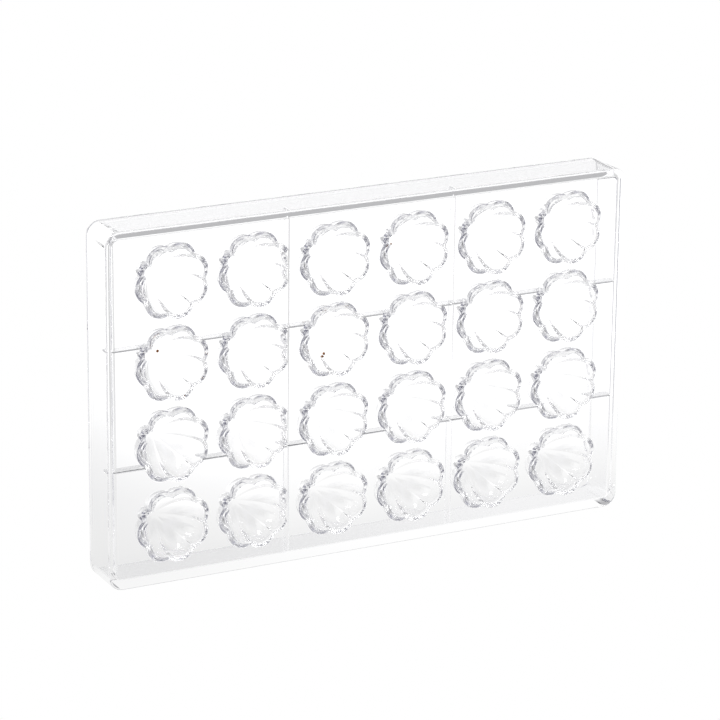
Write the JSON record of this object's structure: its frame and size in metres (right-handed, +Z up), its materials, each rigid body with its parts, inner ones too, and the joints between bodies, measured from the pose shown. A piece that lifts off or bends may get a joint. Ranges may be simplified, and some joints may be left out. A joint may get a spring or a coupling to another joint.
{
  "type": "chocolate mould",
  "caption": "Clear rigid chocolate mould: flat plate with rows of fluted shell cavities, deep skirt round the edge and low ribs behind, standing on a long edge.",
  "frame": {"origin": "bottom centre of the bounding box: the middle of the long edge that the mould stands on", "axes": "+X along the long edge, +Z up across the rows, +Y from the plate's cavity face towards the open back rim"},
  "size_m": [0.275, 0.024, 0.175],
  "materials": {
    "clear_plastic": "gloss"
  },
  "bodies": {
    "root": {"mould": "clear_plastic"}
  },
  "joints": []
}
